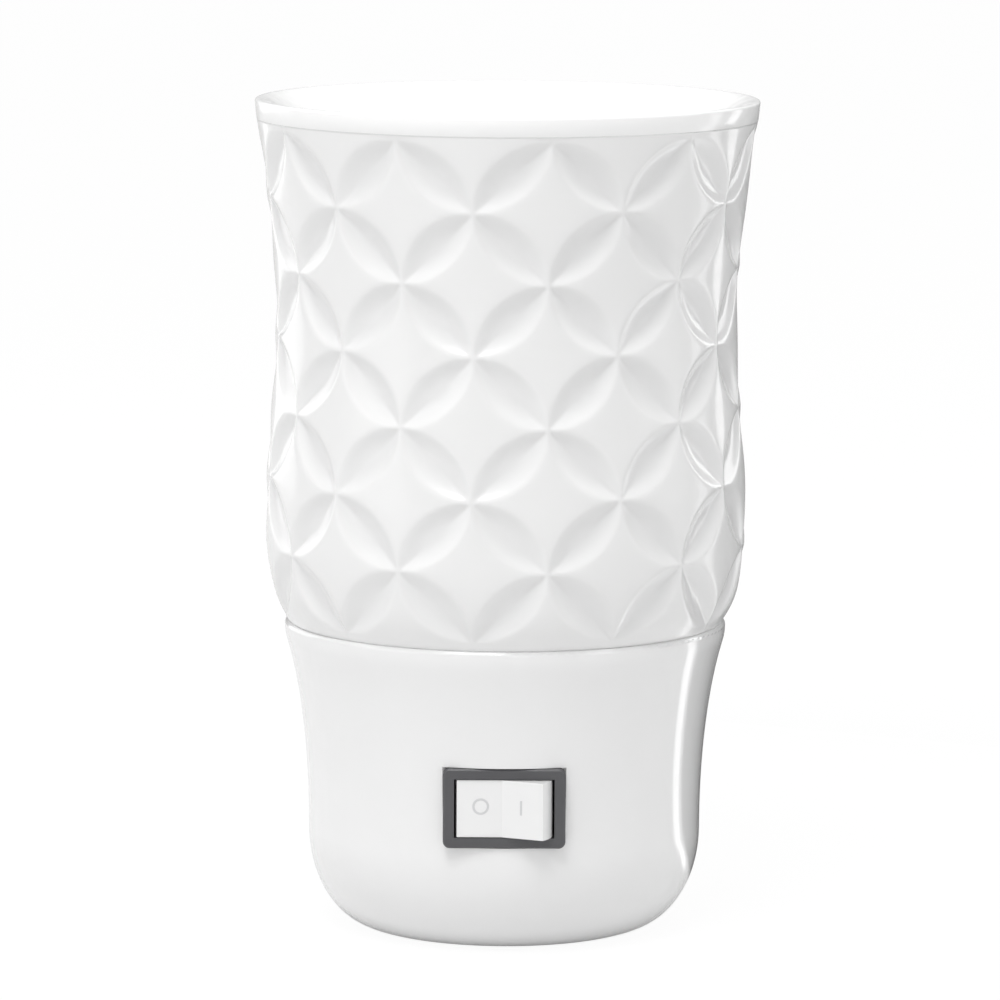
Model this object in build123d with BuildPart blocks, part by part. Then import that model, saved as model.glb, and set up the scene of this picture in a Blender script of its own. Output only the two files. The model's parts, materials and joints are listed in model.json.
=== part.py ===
from build123d import *
import math
import os

os.makedirs("parts", exist_ok=True)

# Plug-in wax melt warmer. Frame: the origin is the middle of the plug's face on the wall, +Z is up,
# +Y goes into the wall and the front of the warmer looks along -Y. Heights are above the bowl's foot.
wall_distance = 46.0
plug_height = 26.0
overrun = 1.0

# Base bowl
bowl_height = 54.0
bowl_wall = 2.2
bowl_corner_width = 11.5
bowl_corner_height = 17.0
bowl_side_radius = 34.45
bowl_waist_radius = 34.9
bowl_waist_height = 30.0
bowl_rim_radius = 38.7
bowl_rim_round = 0.8
bowl_flare_shares = [(0.34, 0.474), (0.823, 0.84)]
post_radius = 3.2
post_bite = 0.3
post_foot_height = 12.0
post_angles = (-38.0, 38.0, 115.0, -115.0)
vent_count = 3
vent_width = 2.4
vent_length = 20.0
vent_pitch = 7.0

# Shade
shade_height = 88.0
shade_wall = 3.2
shade_step = 1.1
shade_bulge_radius = 42.1
shade_waist_radius = 40.45
shade_top_radius = 43.65
shade_toe_shares = [(0.5, 0.036), (0.8, 0.085)]
shade_bulge_height_share = 0.19
shade_flank_shares = [(0.33, 0.36)]
shade_waist_height_share = 0.67
shade_flare_shares = [(0.32, 0.807), (0.77, 0.945)]

# Relief of overlapping circles: leaf-shaped hollows that run between nodes
relief_repeats = 10
relief_rows = 7
relief_first_angle = 10.0
relief_top_margin = 0.9
relief_foot_margin = 1.5
leaf_depth = 0.9
leaf_half_width = 3.6
leaf_tip_gap = 0.45
leaf_clearance = 0.35
leaf_run_out = 0.6

# Melt dish
dish_lip_height = 3.4
dish_lip_overhang = 0.35
dish_lip_width = 1.7
dish_lip_round = 0.7
dish_lip_flank = 2.4
dish_seam = 0.25
dish_gap = 0.5
dish_neck = 2.0
dish_skirt_height = 4.6
dish_corner_radius = 15.5
dish_wall = 2.8

# Lamp deck
deck_thickness = 2.4
deck_recess = 0.3
deck_gap = 0.4
spigot_height = 4.0
spigot_wall = 1.6
spigot_gap = 0.5
deck_vent_count = 12
deck_vent_width = 2.6
deck_vent_length = 6.0
deck_vent_circle = 19.5

# Screws
screw_radius = 1.2
screw_length = 9.0
screw_tip_gap = 0.6
screw_head_radius = 2.3
screw_head_height = 1.5
screw_recess_width = 0.7
screw_recess_depth = 0.7
screw_hole_gap = 0.3

# Lampholder
holder_radius = 9.7
holder_drop = 14.0
holder_rise = 12.0
holder_flange_radius = 12.6
holder_flange_height = 1.8
holder_floor = 3.0
holder_gap = 0.2
shell_radius = 6.9
shell_wall = 0.45
shell_lift = 1.5
shell_top_gap = 0.6
tab_width = 4.0
tab_thickness = 0.8
tab_length = 7.0
centre_tab_reach = 3.0
contact_radius = 2.4
contact_height = 3.0

# Lamp
cap_radius = 5.95
cap_length = 17.0
cap_wall = 0.4
cap_groove = 0.35
cap_thread_pitch = 2.54
cap_thread_count = 4
tip_radius = 2.2
tip_height = 1.4
insulator_height = 2.0
insulator_radius = 4.2
cap_shoulder = 1.8
glass_neck_lap = 3.0
glass_neck_rise = 1.2
glass_radius = 11.0
glass_length = 38.0
glass_shoulder = 15.0
glass_wall = 0.7
stem_radius = 1.5
stem_height = 12.0
stem_foot_height = 1.2
lead_radius = 0.3
lead_half_spread = 3.6
lead_rise = 9.0
lead_bend = 1.0
coil_sag = 1.6

# Switch
switch_height = 26.3
bezel_width = 21.0
bezel_height = 13.8
bezel_thickness = 2.0
bezel_round = 1.2
bezel_edge = 0.3
bezel_bed = 0.08
window_width = 17.2
window_height = 10.2
housing_wall = 0.75
housing_depth = 14.0
housing_floor = 1.6
housing_gap = 0.1
pad_margin = 1.5
pad_thickness = 2.6
rocker_gap = 0.15
rocker_swing = 12.0
rocker_face_drop = 0.2
rocker_face_rise = 2.0
rocker_end_gap = 0.25
rocker_belly = 2.4
rocker_nose = 5.0
rocker_nose_radius = 0.9
pin_radius = 0.8
pin_gap = 0.05
lever_swing = 8.0
lever_drop = 6.5
lever_half_length = 6.4
lever_thickness = 0.5
lever_width = 3.2
terminal_width = 4.8
terminal_thickness = 0.8
terminal_length = 7.0
terminal_spacing = 6.0

# Wire receptacles on the switch
receptacle_width = 6.2
receptacle_thickness = 2.6
receptacle_length = 8.5
receptacle_gap = 1.0

# Rotating plug
rotor_radius = 14.5
rotor_length = 9.5
rotor_gap = 0.3
rotor_flange_radius = 16.5
rotor_flange_length = 2.5
rotor_edge = 0.6
boss_radius = 22.5
boss_depth = 23.0
boss_edge = 0.8
lug_radius = 18.4
lug_angle = 14.0
lug_start = -22.0
plug_turn = 90.0
lug_play = 1.0
blade_length = 17.5
blade_thickness = 1.52
blade_spacing = 12.7
line_blade_width = 6.35
neutral_blade_width = 7.94
blade_hole_radius = 1.6
blade_hole_reach = 11.9
blade_tip = 0.6
tail_width = 4.5

# Contact carrier
carrier_gap = 0.2
carrier_wall = 2.0
carrier_floor = 2.0
carrier_flange_radius = 21.6
carrier_screw_circle = 19.4
carrier_screw_angles = (90.0, 210.0, 330.0)
carrier_screw_radius = 0.9
carrier_screw_length = 7.0
carrier_head_radius = 1.9
carrier_head_height = 1.3
strip_thickness = 0.6
strip_margin = 0.9
strip_overlap_angle = 25.0
strip_tab_length = 6.0

# Wires
wire_radius = 0.9
wire_lead = 5.0
wire_sag = 6.0

# Places that follow from the sizes
lamp_axis = Axis((0, -wall_distance, 0), (0, 0, 1))
lamp_section = Plane(origin=(0, -wall_distance, -plug_height), x_dir=(1, 0, 0), z_dir=(0, -1, 0))
plug_section = Plane.XY
shade_foot_radius = bowl_rim_radius - shade_step
shade_top = bowl_height + shade_height
deck_top = bowl_height - deck_recess
deck_seat = deck_top - deck_thickness
holder_top = deck_top + holder_rise
holder_bottom = deck_top - holder_drop
holder_floor_top = holder_bottom + holder_floor


def level(height):
    """Horizontal plane at a height above the foot, centred on the lamp axis."""
    return Plane(origin=(0, -wall_distance, height - plug_height))


def behind_wall_plane(depth):
    """Upright plane this far in front of the wall plane, centred on the plug axis, facing the front."""
    return Plane.XZ.offset(depth)


def between(low, high, share):
    return low + (high - low) * share


def finish(builder, name):
    """Label a finished piece and write it."""
    builder.part.label = name
    export_step(builder.part, f"parts/{name}.step")


def bowl_outline(inset):
    """Points of the bowl's side from the corner up to the rim, moved in by a wall."""
    points = [(bowl_side_radius, bowl_corner_height), (bowl_waist_radius, bowl_waist_height)]
    rim_height = bowl_height - bowl_rim_round
    for radius_share, height_share in bowl_flare_shares:
        radius = between(bowl_waist_radius, bowl_rim_radius, radius_share)
        points.append((radius, between(bowl_waist_height, rim_height, height_share)))
    points.append((bowl_rim_radius, rim_height))
    return [(radius - inset, height) for radius, height in points]


def shade_outline(inset):
    """Points of the shade's side from the foot to the top, moved in by a wall."""
    points = [(shade_foot_radius, 0)]
    for radius_share, height_share in shade_toe_shares:
        points.append((between(shade_foot_radius, shade_bulge_radius, radius_share), height_share))
    points.append((shade_bulge_radius, shade_bulge_height_share))
    for radius_share, height_share in shade_flank_shares:
        points.append((between(shade_bulge_radius, shade_waist_radius, radius_share), height_share))
    points.append((shade_waist_radius, shade_waist_height_share))
    for radius_share, height_share in shade_flare_shares:
        points.append((between(shade_waist_radius, shade_top_radius, radius_share), height_share))
    points.append((shade_top_radius, 1))
    return [(radius - inset, bowl_height + shade_height * share) for radius, share in points]


def curve_through(points):
    with BuildLine() as line:
        Spline(*points)
    return line.edges()[0]


def share_at(curve, height):
    """Place along a rising outline where it reaches a height, by halving."""
    low, high = 0.0, 1.0
    for _ in range(40):
        middle = (low + high) / 2
        if (curve @ middle).Y < height:
            low = middle
        else:
            high = middle
    return low


bowl_curve = curve_through(bowl_outline(0))
shade_curve = curve_through(shade_outline(0))


def bowl_radius(height):
    return (bowl_curve @ share_at(bowl_curve, height)).X


def shade_radius(height):
    return (shade_curve @ share_at(shade_curve, height)).X


def shade_surface(angle, height):
    """Point and outward normal on the shade; angles turn from the front towards +X."""
    share = share_at(shade_curve, height)
    place = shade_curve @ share
    slope = shade_curve % share
    turn = math.radians(angle)
    outward = Vector(math.sin(turn), -math.cos(turn), 0)
    point = Vector(0, -wall_distance, height - plug_height) + outward * place.X
    normal = outward * slope.Y - Vector(0, 0, 1) * slope.X
    return point, normal


def leaf_cutter(start, end):
    """A wheel with a V-shaped edge, rolled through one leaf between two nodes of the relief.

    The bottom of its edge passes through both tips on the surface and leaf_depth below its middle.
    """
    start_point, _ = shade_surface(*start)
    end_point, _ = shade_surface(*end)
    top, normal = shade_surface((start[0] + end[0]) / 2, (start[1] + end[1]) / 2)
    middle = (start_point + end_point) * 0.5
    along = (end_point - start_point).normalized()
    outward = (normal - along * normal.dot(along)).normalized()
    across = outward.cross(along)
    half_length = (end_point - start_point).length / 2 - leaf_tip_gap
    rise = (top - middle).dot(outward)
    drop = leaf_depth - rise
    wheel_radius = (half_length**2 + drop**2) / (2 * drop)
    valley = middle - outward * drop
    wheel_axis = Axis(valley + outward * wheel_radius, across)
    sweep = math.degrees((half_length + leaf_run_out) / abs(wheel_radius))
    edge_height = leaf_depth + leaf_clearance
    edge_half_width = leaf_half_width * edge_height / leaf_depth
    with BuildSketch(Plane(origin=valley, x_dir=across, z_dir=along)) as edge:
        with BuildLine():
            Polyline((0, 0), (edge_half_width, edge_height), (-edge_half_width, edge_height), close=True)
        make_face()
    turned = edge.sketch.rotate(wheel_axis, -sweep)
    return revolve(turned, axis=wheel_axis, revolution_arc=2 * sweep, mode=Mode.PRIVATE)


def relief_cutters():
    """The leaves of one repeat, in two sets whose members stay clear of one another."""
    half_turn = 180 / relief_repeats
    first_row = shade_top - relief_top_margin
    row_height = (shade_height - relief_top_margin - relief_foot_margin) / relief_rows
    sets = ([], [])
    for row in range(relief_rows):
        upper = first_row - row * row_height
        lower = upper - row_height
        for side in (-1, 1):
            outer = relief_first_angle + side * half_turn
            if row % 2:
                start, end = (outer, upper), (relief_first_angle, lower)
            else:
                start, end = (relief_first_angle, upper), (outer, lower)
            sets[(side > 0) ^ (row % 2)].append(leaf_cutter(start, end))
    return sets


# Shade: one repeat of the relief is cut in a wedge, and the wedges make the ring
repeat_angle = 360 / relief_repeats
wedge_start = relief_first_angle - repeat_angle / 2
leaf_sets = relief_cutters()
with BuildPart() as shade_wedge:
    with BuildSketch(lamp_section) as shade_section:
        with BuildLine():
            outer_line = Spline(*shade_outline(0))
            inner_line = Spline(*shade_outline(shade_wall))
            Line(outer_line @ 0, inner_line @ 0)
            Line(outer_line @ 1, inner_line @ 1)
        make_face()
    turned_section = shade_section.sketch.rotate(lamp_axis, wedge_start - 90)
    add(revolve(turned_section, axis=lamp_axis, revolution_arc=repeat_angle, mode=Mode.PRIVATE))
    for leaves in leaf_sets:
        add(leaves, mode=Mode.SUBTRACT)

with BuildPart() as shade:
    add([shade_wedge.part.rotate(lamp_axis, index * repeat_angle) for index in range(relief_repeats)])
finish(shade, "shade")

# Melt dish: it rests on the shade's top edge, and its skirt keeps it centred in the narrowest
# part of the opening, clear of the wall where that leans in below the skirt
dish_top = shade_top + dish_lip_height
dish_lip_radius = shade_top_radius + dish_lip_overhang
skirt_bottom = shade_top - dish_skirt_height
opening_radius = min(shade_radius(skirt_bottom), shade_top_radius) - shade_wall
wall_slope = shade_curve % share_at(shade_curve, skirt_bottom)
wall_lean = wall_slope.X / wall_slope.Y
skirt_radius = opening_radius - dish_gap - wall_lean**2 * dish_corner_radius / 2
dish_base_radius = skirt_radius - dish_corner_radius
dish_inner_corner = dish_corner_radius - dish_wall
dish_base = skirt_bottom - dish_corner_radius
lip_inner_edge = Vector(dish_lip_radius - dish_lip_width, dish_top)
neck = Vector(skirt_radius, shade_top) + Vector(0, dish_neck).rotate(Axis.Z, 45)
skirt_inner_edge = Vector(skirt_radius - dish_wall, skirt_bottom)
with BuildPart() as melt_dish:
    with BuildSketch(lamp_section) as dish_section:
        with BuildLine():
            Line((0, dish_base), (dish_base_radius, dish_base))
            CenterArc((dish_base_radius, skirt_bottom), dish_corner_radius, -90, 90)
            Line((skirt_radius, skirt_bottom), (skirt_radius, shade_top))
            Line((skirt_radius, shade_top), (shade_top_radius, shade_top))
            Line((shade_top_radius, shade_top), (dish_lip_radius, shade_top + dish_lip_flank))
            Line((dish_lip_radius, shade_top + dish_lip_flank), (dish_lip_radius, dish_top))
            Line((dish_lip_radius, dish_top), lip_inner_edge)
            Spline(
                lip_inner_edge,
                neck,
                skirt_inner_edge,
                tangents=[neck - lip_inner_edge, (0, -dish_corner_radius)],
            )
            CenterArc((dish_base_radius, skirt_bottom), dish_inner_corner, -90, 90)
            Line((dish_base_radius, dish_base + dish_wall), (0, dish_base + dish_wall))
            Line((0, dish_base + dish_wall), (0, dish_base))
        make_face()
    revolve(axis=lamp_axis)
    top_edges = melt_dish.edges().filter_by(GeomType.CIRCLE).group_by(Axis.Z)[-1]
    fillet(top_edges, radius=dish_lip_round)
    seat_edge = melt_dish.edges().filter_by(GeomType.CIRCLE).filter_by(
        lambda edge: abs(edge.radius - shade_top_radius) < dish_seam
    )
    chamfer(seat_edge, length=dish_seam)
finish(melt_dish, "melt_dish")

# Base bowl: the cavity is shaped first, so that posts, pad and boss never leave the bowl's outline
flange_front = rotor_length - rotor_flange_length
carrier_back = boss_depth + carrier_floor
post_circle = bowl_waist_radius - bowl_wall - post_radius + post_bite
switch_radius = bowl_radius(switch_height)
bezel_seat = math.sqrt(switch_radius**2 - (bezel_width / 2) ** 2) - bezel_bed
housing_width = window_width + 2 * housing_wall
housing_height = window_height + 2 * housing_wall
switch_plane = Plane(
    origin=(0, -wall_distance - bezel_seat, switch_height - plug_height), x_dir=(1, 0, 0), z_dir=(0, -1, 0)
)


def bowl_corner(inset):
    """Quarter ellipse from the flat foot to the bowl's side, moved in by a wall."""
    middle = (bowl_side_radius - bowl_corner_width, bowl_corner_height)
    return EllipticalCenterArc(
        middle, bowl_corner_width - inset, bowl_corner_height - inset, start_angle=-90, arc_size=90
    )


def on_circle(radius, angle):
    turn = math.radians(angle)
    return radius * math.cos(turn), radius * math.sin(turn)


def post_places():
    """Middles of the deck's posts; their angles turn from the front towards +X."""
    return [on_circle(post_circle, turn - 90) for turn in post_angles]


def carrier_screw_places():
    return [on_circle(carrier_screw_circle, turn) for turn in carrier_screw_angles]


with BuildPart() as bowl_cavity:
    with BuildSketch(lamp_section):
        with BuildLine():
            side = Spline(*bowl_outline(bowl_wall), tangents=[(0, bowl_height), (0, bowl_height)])
            corner = bowl_corner(bowl_wall)
            Line(corner @ 0, (0, bowl_wall))
            rim_inner = side @ 1
            Line(rim_inner, (rim_inner.X, bowl_height + overrun))
            Line((rim_inner.X, bowl_height + overrun), (0, bowl_height + overrun))
            Line((0, bowl_height + overrun), (0, bowl_wall))
        make_face()
    revolve(axis=lamp_axis)
    with BuildSketch(level(post_foot_height)):
        with Locations(*post_places()):
            Circle(post_radius)
    extrude(amount=deck_seat - post_foot_height, mode=Mode.SUBTRACT)
    with BuildSketch(switch_plane):
        Rectangle(bezel_width + 2 * pad_margin, bezel_height + 2 * pad_margin)
    extrude(amount=-pad_thickness, mode=Mode.SUBTRACT)
    with BuildSketch(switch_plane):
        Rectangle(bezel_width + 2 * pad_margin, bezel_height + 2 * pad_margin)
    extrude(amount=switch_radius - bezel_seat, mode=Mode.SUBTRACT)
    with BuildSketch(Plane.XZ):
        Circle(boss_radius)
    extrude(amount=boss_depth, mode=Mode.SUBTRACT)

with BuildPart() as base_bowl:
    with BuildSketch(lamp_section):
        with BuildLine():
            Spline(*bowl_outline(0), tangents=[(0, bowl_height), (0, bowl_height)])
            corner = bowl_corner(0)
            Line(corner @ 0, (0, 0))
            Line((0, 0), (0, bowl_height))
            Line((0, bowl_height), (bowl_rim_radius - bowl_rim_round, bowl_height))
            CenterArc((bowl_rim_radius - bowl_rim_round, bowl_height - bowl_rim_round), bowl_rim_round, 0, 90)
        make_face()
    revolve(axis=lamp_axis)
    with BuildSketch(Plane.XZ):
        Circle(boss_radius)
    extrude(amount=boss_depth)
    chamfer(
        base_bowl.edges().filter_by(GeomType.CIRCLE).group_by(Axis.Y)[-1],
        length=boss_edge,
    )
    add(bowl_cavity.part, mode=Mode.SUBTRACT)
    with BuildSketch(Plane.XZ):
        Circle(rotor_radius + rotor_gap)
    extrude(amount=boss_depth + overrun, mode=Mode.SUBTRACT)
    with BuildSketch(behind_wall_plane(flange_front)):
        Circle(rotor_flange_radius + rotor_gap)
        with BuildLine():
            pocket_start = lug_start - lug_play
            pocket_sweep = plug_turn + lug_angle + 2 * lug_play
            pocket = CenterArc((0, 0), lug_radius + rotor_gap, pocket_start, pocket_sweep)
            Line((0, 0), pocket @ 0)
            Line((0, 0), pocket @ 1)
        make_face()
    extrude(amount=boss_depth, mode=Mode.SUBTRACT)
    with BuildSketch(behind_wall_plane(boss_depth)):
        with Locations(*carrier_screw_places()):
            Circle(carrier_screw_radius)
    extrude(amount=carrier_floor - carrier_screw_length - screw_tip_gap, mode=Mode.SUBTRACT)
    with BuildSketch(level(deck_seat)):
        with Locations(*post_places()):
            Circle(screw_radius)
    extrude(amount=deck_thickness - screw_length - screw_tip_gap, mode=Mode.SUBTRACT)
    with BuildSketch(switch_plane):
        Rectangle(bezel_width + 2 * housing_gap, bezel_height + 2 * housing_gap)
    extrude(amount=bowl_wall + overrun, mode=Mode.SUBTRACT)
    with BuildSketch(switch_plane):
        Rectangle(housing_width + 2 * housing_gap, housing_height + 2 * housing_gap)
    extrude(amount=-pad_thickness - overrun, mode=Mode.SUBTRACT)
    with BuildSketch(level(-overrun)):
        with GridLocations(0, vent_pitch, 1, vent_count):
            SlotOverall(vent_length, vent_width)
    extrude(amount=bowl_wall + 2 * overrun, mode=Mode.SUBTRACT)
finish(base_bowl, "base_bowl")


def screw(plane, radius, length, head_radius, head_height):
    """A pan-head screw with a cross recess; the plane holds the seat of the head."""
    with BuildPart() as piece:
        with BuildSketch(plane):
            Circle(radius)
        extrude(amount=-length)
        with BuildSketch(plane):
            Circle(head_radius)
        extrude(amount=head_height)
        with BuildSketch(plane.offset(head_height)):
            Rectangle(head_radius, screw_recess_width)
            Rectangle(screw_recess_width, head_radius)
        extrude(amount=-screw_recess_depth, mode=Mode.SUBTRACT)
    return piece.part


# Lamp deck: closes the bowl, carries the lampholder and centres the shade
deck_radius = bowl_radius(deck_seat) - bowl_wall - deck_gap
spigot_radius = shade_foot_radius - shade_wall - spigot_gap
with BuildPart() as lamp_deck:
    with BuildSketch(level(deck_seat)):
        Circle(deck_radius)
    extrude(amount=deck_thickness)
    with BuildSketch(level(deck_top)):
        Circle(spigot_radius)
        Circle(spigot_radius - spigot_wall, mode=Mode.SUBTRACT)
    extrude(amount=spigot_height)
    with BuildSketch(level(deck_seat)):
        Circle(holder_radius + holder_gap)
        with Locations(*post_places()):
            Circle(screw_radius + screw_hole_gap)
        with PolarLocations(deck_vent_circle, deck_vent_count):
            SlotOverall(deck_vent_length, deck_vent_width)
    extrude(amount=deck_thickness, mode=Mode.SUBTRACT)
finish(lamp_deck, "lamp_deck")

deck_screw_solids = []
for x, y in post_places():
    seat = Plane(origin=(x, y - wall_distance, deck_top - plug_height))
    deck_screw_solids.append(screw(seat, screw_radius, screw_length, screw_head_radius, screw_head_height))
with BuildPart() as deck_screws:
    add(deck_screw_solids)
finish(deck_screws, "deck_screws")

# Lampholder
shell_bottom = holder_floor_top + shell_lift
shell_top = holder_top - shell_top_gap
shell_tab_reach = shell_radius - tab_thickness / 2
shell_tab_top = shell_bottom + tab_thickness
with BuildPart() as lampholder_body:
    with BuildSketch(level(holder_bottom)):
        Circle(holder_radius)
    extrude(amount=holder_drop + holder_rise)
    with BuildSketch(level(deck_top)):
        Circle(holder_flange_radius)
    extrude(amount=holder_flange_height)
    with BuildSketch(level(holder_floor_top)):
        Circle(shell_radius)
    extrude(amount=holder_top - holder_floor_top, mode=Mode.SUBTRACT)
    with BuildSketch(level(holder_bottom)):
        with Locations((0, shell_tab_reach), (0, -centre_tab_reach)):
            Rectangle(tab_width, tab_thickness)
    extrude(amount=shell_tab_top - holder_bottom, mode=Mode.SUBTRACT)
finish(lampholder_body, "lampholder_body")

with BuildPart() as screw_shell:
    with BuildSketch(level(shell_bottom)):
        Circle(shell_radius)
        Circle(shell_radius - shell_wall, mode=Mode.SUBTRACT)
    extrude(amount=shell_top - shell_bottom)
    with BuildSketch(level(holder_bottom - tab_length)):
        with Locations((0, shell_tab_reach)):
            Rectangle(tab_width, tab_thickness)
    extrude(amount=shell_tab_top - holder_bottom + tab_length)
finish(screw_shell, "screw_shell")

with BuildPart() as centre_contact:
    with BuildSketch(level(holder_floor_top)):
        Circle(contact_radius)
    extrude(amount=contact_height)
    with BuildSketch(level(holder_floor_top)):
        with Locations((0, -centre_tab_reach / 2)):
            Rectangle(tab_width, centre_tab_reach + tab_thickness)
    extrude(amount=tab_thickness)
    with BuildSketch(level(holder_bottom - tab_length)):
        with Locations((0, -centre_tab_reach)):
            Rectangle(tab_width, tab_thickness)
    extrude(amount=holder_floor + tab_length)
finish(centre_contact, "centre_contact")

# Lamp
tip_bottom = holder_floor_top + contact_height
insulator_bottom = tip_bottom + tip_height
cap_bottom = insulator_bottom + insulator_height
cap_top = cap_bottom + cap_length
cap_bore = cap_radius - cap_wall
glass_bottom = cap_top - glass_neck_lap
glass_top = glass_bottom + glass_length


def revolved(points):
    """A solid turned about the lamp axis from a closed outline of radius and height."""
    with BuildPart() as turned:
        with BuildSketch(lamp_section):
            with BuildLine():
                Polyline(*points, close=True)
            make_face()
        revolve(axis=lamp_axis)
    return turned.part


tip_edge = tip_radius / 2
tip_solid = revolved([
    (0, tip_bottom),
    (tip_edge, tip_bottom),
    (tip_radius, tip_bottom + tip_edge),
    (tip_radius, insulator_bottom),
    (0, insulator_bottom),
])
with BuildPart() as bulb_tip:
    add(tip_solid)
finish(bulb_tip, "bulb_tip")

insulator_solid = revolved([
    (0, insulator_bottom),
    (tip_radius, insulator_bottom),
    (insulator_radius, cap_bottom),
    (0, cap_bottom),
])
with BuildPart() as bulb_insulator:
    add(insulator_solid)
finish(bulb_insulator, "bulb_insulator")

cap_points = [(0, cap_bottom), (insulator_radius, cap_bottom), (cap_radius, cap_bottom + cap_shoulder)]
for turn in range(cap_thread_count):
    root = cap_bottom + cap_shoulder + (turn + 0.5) * cap_thread_pitch
    cap_points.append((cap_radius, root - cap_groove))
    cap_points.append((cap_radius - cap_groove, root))
    cap_points.append((cap_radius, root + cap_groove))
cap_points += [(cap_radius, cap_top), (cap_bore, cap_top), (cap_bore, glass_bottom), (0, glass_bottom)]
cap_solid = revolved(cap_points)
with BuildPart() as bulb_cap:
    add(cap_solid)
finish(bulb_cap, "bulb_cap")

with BuildPart() as bulb_glass:
    with BuildSketch(lamp_section):
        with BuildLine():
            neck_top = cap_top + glass_neck_rise
            crown_start = glass_top - glass_radius
            for inset in (0, glass_wall):
                neck = cap_bore - inset
                belly = glass_radius - inset
                Line((neck, glass_bottom), (neck, neck_top))
                Spline((neck, neck_top), (belly, neck_top + glass_shoulder),
                       tangents=[(0, glass_shoulder), (0, glass_shoulder)])
                Line((belly, neck_top + glass_shoulder), (belly, crown_start))
                CenterArc((0, crown_start), belly, 0, 90)
            Line((cap_bore, glass_bottom), (cap_bore - glass_wall, glass_bottom))
            Line((0, glass_top), (0, glass_top - glass_wall))
        make_face()
    revolve(axis=lamp_axis)
finish(bulb_glass, "bulb_glass")

stem_top = glass_bottom + stem_foot_height + stem_height
with BuildPart() as bulb_stem:
    with BuildSketch(level(glass_bottom)):
        Circle(cap_bore - glass_wall)
    extrude(amount=stem_foot_height)
    with BuildSketch(level(glass_bottom + stem_foot_height)):
        Circle(stem_radius)
    extrude(amount=stem_height)
finish(bulb_stem, "bulb_stem")

with BuildPart() as bulb_filament:
    with BuildLine(lamp_section):
        lead_start = stem_radius - 2 * lead_radius
        coil_end = stem_top + lead_rise
        FilletPolyline(
            (-lead_start, stem_top),
            (-lead_half_spread, coil_end),
            (0, coil_end - coil_sag),
            (lead_half_spread, coil_end),
            (lead_start, stem_top),
            radius=lead_bend,
        )
    with BuildSketch(level(stem_top)):
        with Locations((-lead_start, 0)):
            Circle(lead_radius)
    sweep()
finish(bulb_filament, "bulb_filament")

# Switch: everything is placed from the plane that the bezel lies on
switch_pivot = switch_plane.from_local_coords((0, 0, bezel_thickness - rocker_face_drop - rocker_face_rise))


def switch_layer(pivot, turn):
    """Level plane through a pivot of the switch, x to the right and y to the front, turned about +Z."""
    return Plane(origin=pivot, x_dir=Vector(1, 0, 0).rotate(Axis.Z, turn), z_dir=(0, 0, -1))


with BuildPart() as switch_housing:
    with BuildSketch(switch_plane):
        RectangleRounded(bezel_width, bezel_height, bezel_round)
    extrude(amount=bezel_thickness)
    chamfer(switch_housing.faces().sort_by(Axis.Y)[0].edges(), length=bezel_edge)
    with BuildSketch(switch_plane):
        Rectangle(housing_width, housing_height)
    extrude(amount=-housing_depth)
    with BuildSketch(switch_plane.offset(bezel_thickness)):
        Rectangle(window_width, window_height)
    extrude(amount=housing_floor - housing_depth - bezel_thickness, mode=Mode.SUBTRACT)
    stop_top = switch_pivot - Vector(0, -lever_drop, 0)
    stop_height = (terminal_spacing + terminal_thickness / 2) * math.tan(math.radians(lever_swing))
    knife_depth = -switch_plane.to_local_coords(stop_top).Z
    with BuildSketch(switch_plane.offset(-knife_depth - stop_height)):
        with Locations((terminal_spacing, 0)):
            Rectangle(terminal_thickness, lever_width)
    extrude(amount=knife_depth + stop_height - housing_depth + housing_floor)
    with BuildSketch(Plane(origin=switch_pivot)):
        Circle(pin_radius + pin_gap)
    extrude(amount=housing_height / 2, both=True, mode=Mode.SUBTRACT)
    with BuildSketch(switch_plane.offset(-housing_depth)):
        with Locations((0, 0), (-terminal_spacing, 0)):
            Rectangle(terminal_thickness, terminal_width)
    extrude(amount=housing_floor, mode=Mode.SUBTRACT)
finish(switch_housing, "switch_housing")

with BuildPart() as switch_rocker:
    end_radius = window_width / 2 - rocker_end_gap
    reach = math.sqrt(end_radius**2 - rocker_face_rise**2)
    swing = math.radians(rocker_swing)
    corner_x = reach * math.cos(swing) - rocker_face_rise * math.sin(swing)
    corner_y = reach * math.sin(swing) + rocker_face_rise * math.cos(swing)
    belly_x = math.sqrt(end_radius**2 - rocker_belly**2)
    rocker_height = window_height - 2 * rocker_gap
    with BuildSketch(switch_layer(switch_pivot, -rocker_swing)):
        with BuildLine():
            Polyline((-corner_x, corner_y), (0, rocker_face_rise / math.cos(swing)), (corner_x, corner_y))
            ThreePointArc((corner_x, corner_y), (end_radius, 0), (belly_x, -rocker_belly))
            Line((belly_x, -rocker_belly), (-belly_x, -rocker_belly))
            ThreePointArc((-belly_x, -rocker_belly), (-end_radius, 0), (-corner_x, corner_y))
        make_face()
        with Locations((0, -rocker_nose / 2)):
            Rectangle(2 * rocker_nose_radius, rocker_nose)
        with Locations((0, -rocker_nose)):
            Circle(rocker_nose_radius)
    extrude(amount=rocker_height / 2, both=True)
    with BuildSketch(Plane(origin=switch_pivot)):
        Circle(pin_radius)
    extrude(amount=window_height / 2 + housing_wall, both=True)
finish(switch_rocker, "switch_rocker")

knife_point = switch_plane.from_local_coords((0, 0, -knife_depth))
with BuildPart() as switch_lever:
    with BuildSketch(switch_layer(knife_point, lever_swing)):
        with Locations((0, lever_thickness / 2)):
            Rectangle(2 * lever_half_length, lever_thickness)
    extrude(amount=lever_width / 2, both=True)
finish(switch_lever, "switch_lever")

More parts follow.
